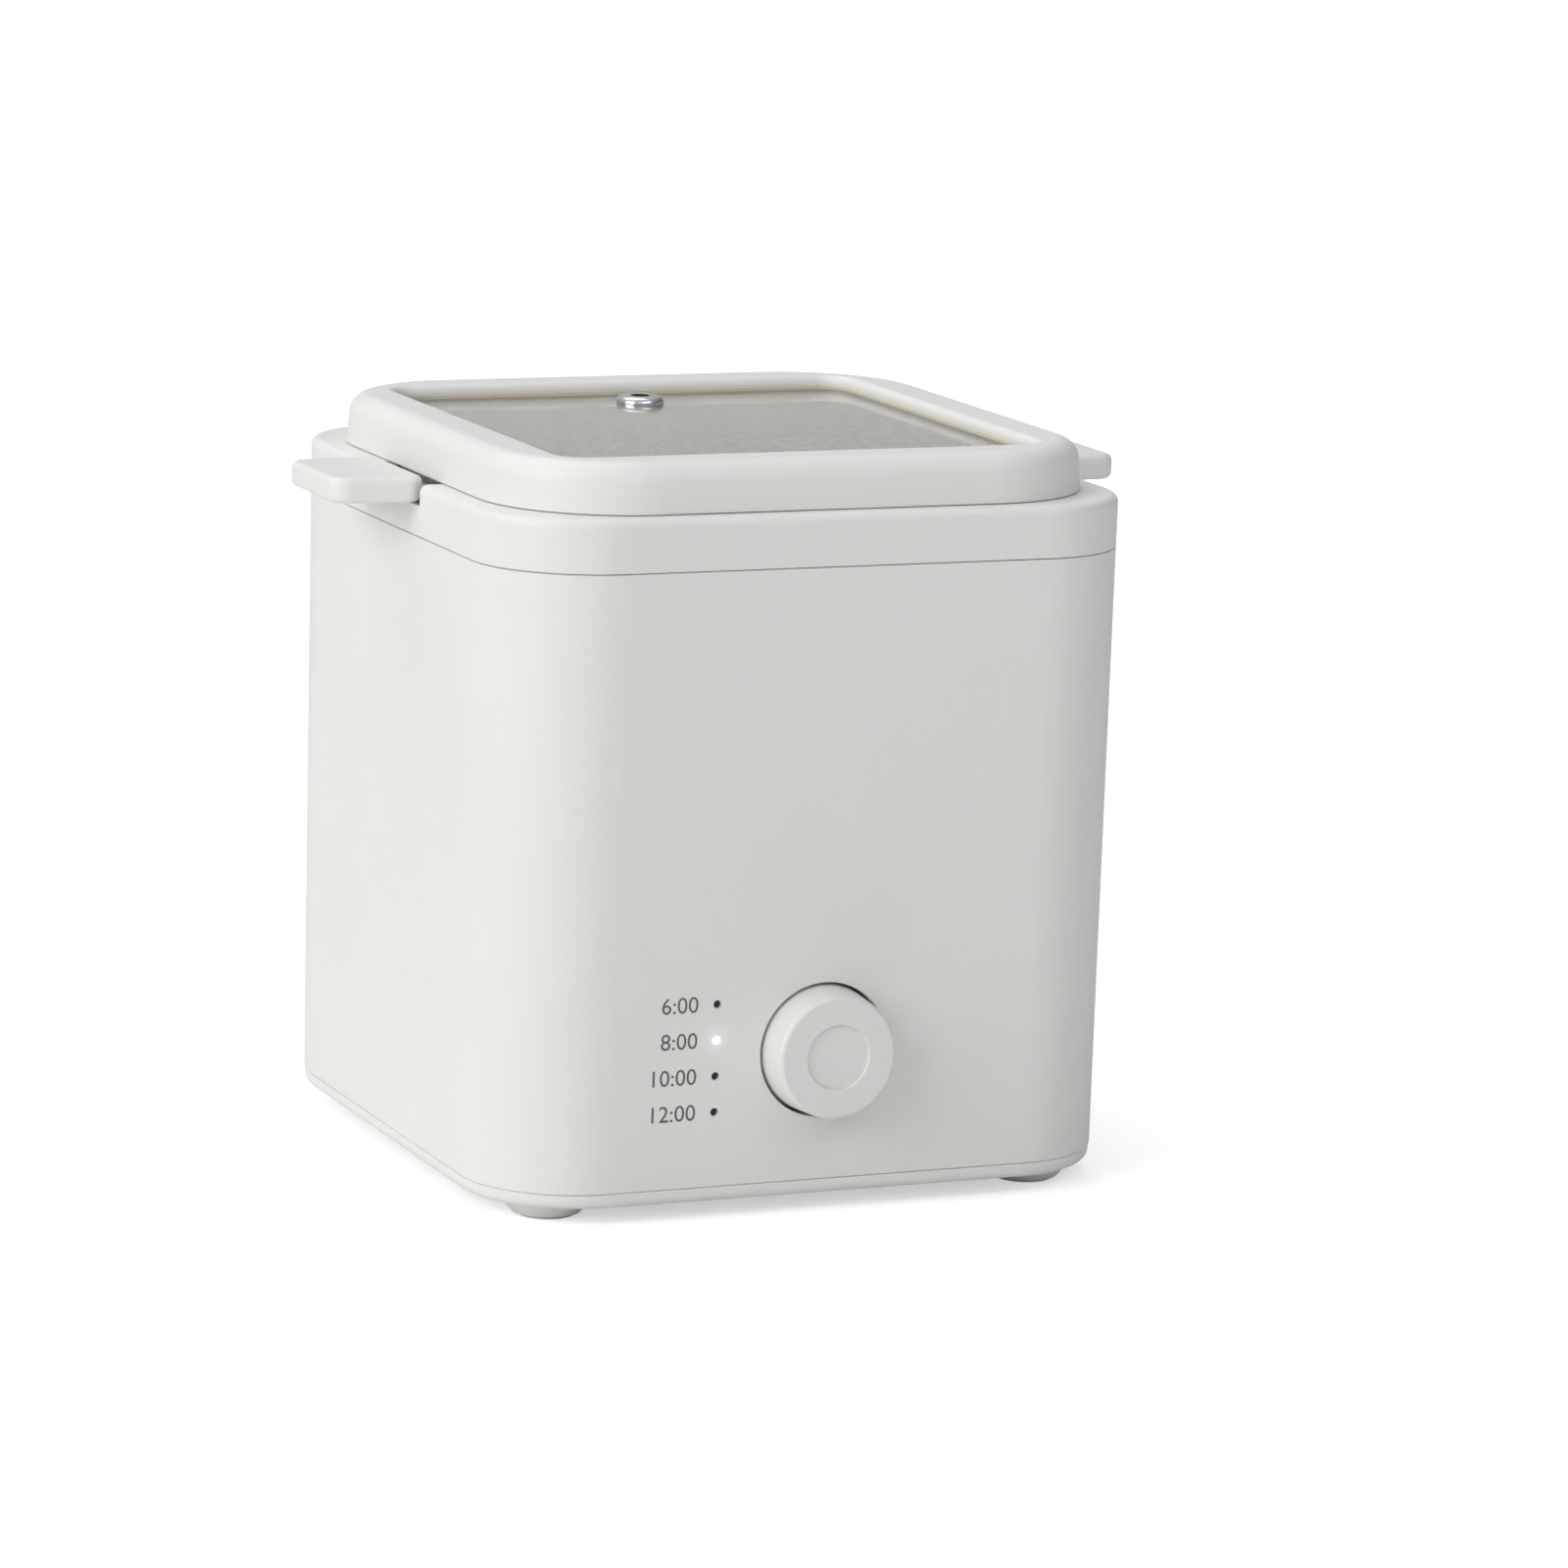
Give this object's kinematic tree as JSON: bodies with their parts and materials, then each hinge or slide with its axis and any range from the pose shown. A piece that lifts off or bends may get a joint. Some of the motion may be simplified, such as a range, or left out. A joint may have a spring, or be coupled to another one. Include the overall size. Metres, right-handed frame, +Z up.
{
  "type": "egg cooker",
  "caption": "Square countertop egg cooker with a glass lift-off lid, a lift-out pot with side ears, an egg rack, a push-and-turn knob and indicator lights.",
  "frame": {"origin": "middle of the whole object's footprint, at the level that the feet stand on", "axes": "+X to the object's right along its two ears, +Y from the knob's side to the back, +Z up"},
  "size_m": [0.1632, 0.1364, 0.1431],
  "materials": {
    "white_plastic": "satin",
    "knob_plastic": "satin",
    "foot_rubber": "matte",
    "pot_steel": "brushed",
    "screw_steel": "plain",
    "vent_chrome": "polished",
    "lid_glass": "clear, lightly fogged below",
    "gasket_silicone": "matte",
    "well_aluminium": "satin",
    "plate_aluminium": "cast",
    "element_steel": "dark",
    "ceramic": "plain",
    "black_plastic": "matte",
    "board_green": "gloss",
    "part_blue": "gloss",
    "part_yellow": "gloss",
    "clear_plastic": "clear",
    "lit_plastic": "lit",
    "brass": "plain",
    "lead_red": "gloss",
    "lead_grey": "gloss"
  },
  "bodies": {
    "base": {"housing_shell": "white_plastic", "top_ring": "white_plastic", "ring_screws": "screw_steel", "base_cover": "white_plastic", "feet": "white_plastic", "foot_pads": "foot_rubber", "base_screws": "screw_steel", "inner_well": "well_aluminium", "well_posts": "ceramic", "heating_plate": "plate_aluminium", "plate_screws": "screw_steel", "heating_element": "element_steel", "element_terminals": "ceramic", "temperature_sensor": "well_aluminium", "sensor_bracket": "screw_steel", "sensor_screws": "screw_steel", "thermostat": "black_plastic", "thermal_fuse": "ceramic", "control_board": "board_green", "control_board_screws": "screw_steel", "light_holder": "black_plastic", "light_chips": "clear_plastic", "dark_light_pins": "clear_plastic", "lit_light_pin": "lit_plastic", "encoder_body": "screw_steel", "encoder_nut": "brass", "power_board": "board_green", "power_board_screws": "screw_steel", "relay": "part_blue", "film_capacitor": "part_yellow", "transformer": "part_yellow", "smoothing_capacitors": "black_plastic", "line_fuse": "ceramic", "terminal_block": "black_plastic", "power_inlet": "black_plastic", "inlet_pins": "brass", "mains_leads": "lead_red", "heater_leads": "lead_red", "sensor_lead": "lead_grey", "board_ribbon": "lead_grey"},
    "pot": {"pot": "pot_steel", "left_ear_bracket": "pot_steel", "right_ear_bracket": "pot_steel", "left_ear": "white_plastic", "right_ear": "white_plastic", "ear_screws": "screw_steel"},
    "rack": {"egg_rack": "pot_steel", "rack_stem": "pot_steel"},
    "lid": {"lid_frame": "white_plastic", "lid_inner_ring": "white_plastic", "lid_screws": "screw_steel", "lid_glass": "lid_glass", "lid_gasket": "gasket_silicone", "steam_vent": "vent_chrome"},
    "encoder_rotor": {"encoder_rotor": "black_plastic"},
    "knob": {"knob": "knob_plastic", "encoder_shaft": "screw_steel"}
  },
  "joints": [
    {"name": "pot_lift", "type": "slide", "parent": "base", "child": "pot", "axis": [0, 0, 1], "range_m": [0, 0.09]},
    {"name": "rack_lift", "type": "slide", "parent": "pot", "child": "rack", "axis": [0, 0, 1], "range_m": [0, 0.085]},
    {"name": "lid_lift", "type": "slide", "parent": "rack", "child": "lid", "axis": [0, 0, 1], "range_m": [0, 0.06]},
    {"name": "knob_turn", "type": "hinge", "parent": "base", "child": "encoder_rotor", "pos_m": [0, -0.05069, 0.0315], "axis": [0, 1, 0], "continuous": true},
    {"name": "knob_press", "type": "slide", "parent": "encoder_rotor", "child": "knob", "axis": [0, 1, 0], "range_m": [0, 0.0008], "stiffness_N_per_m": 4000}
  ]
}
